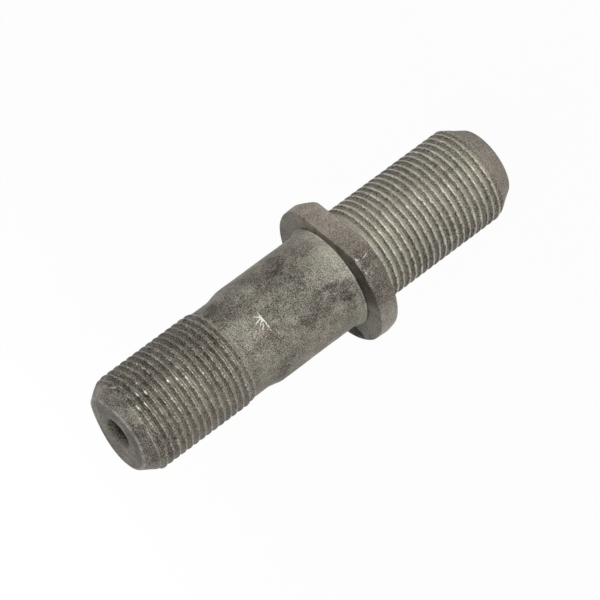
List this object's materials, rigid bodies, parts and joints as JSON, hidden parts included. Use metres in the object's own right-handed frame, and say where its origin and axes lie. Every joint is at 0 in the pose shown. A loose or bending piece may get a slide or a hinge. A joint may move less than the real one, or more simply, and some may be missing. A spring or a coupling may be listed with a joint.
{
  "type": "wheel stud",
  "caption": "Straight steel stud threaded at both ends, with a plain press-fit shank and a thin collar whose flat edge stops it turning in a wheel hub.",
  "frame": {"origin": "centre of the collar's seat, the face that bears on the hub flange, on the stud's axis", "axes": "+Z along the stud's axis to the hub end, which has the centre hole; +X square to the collar's flat; the stud stands on its wheel end face"},
  "size_m": [0.0265, 0.029, 0.0899],
  "materials": {
    "dark_steel": "matte grey-brown phosphate on forged and rolled steel, slightly speckled, lighter on the thread crests"
  },
  "bodies": {
    "root": {"wheel_stud": "dark_steel"}
  },
  "joints": []
}
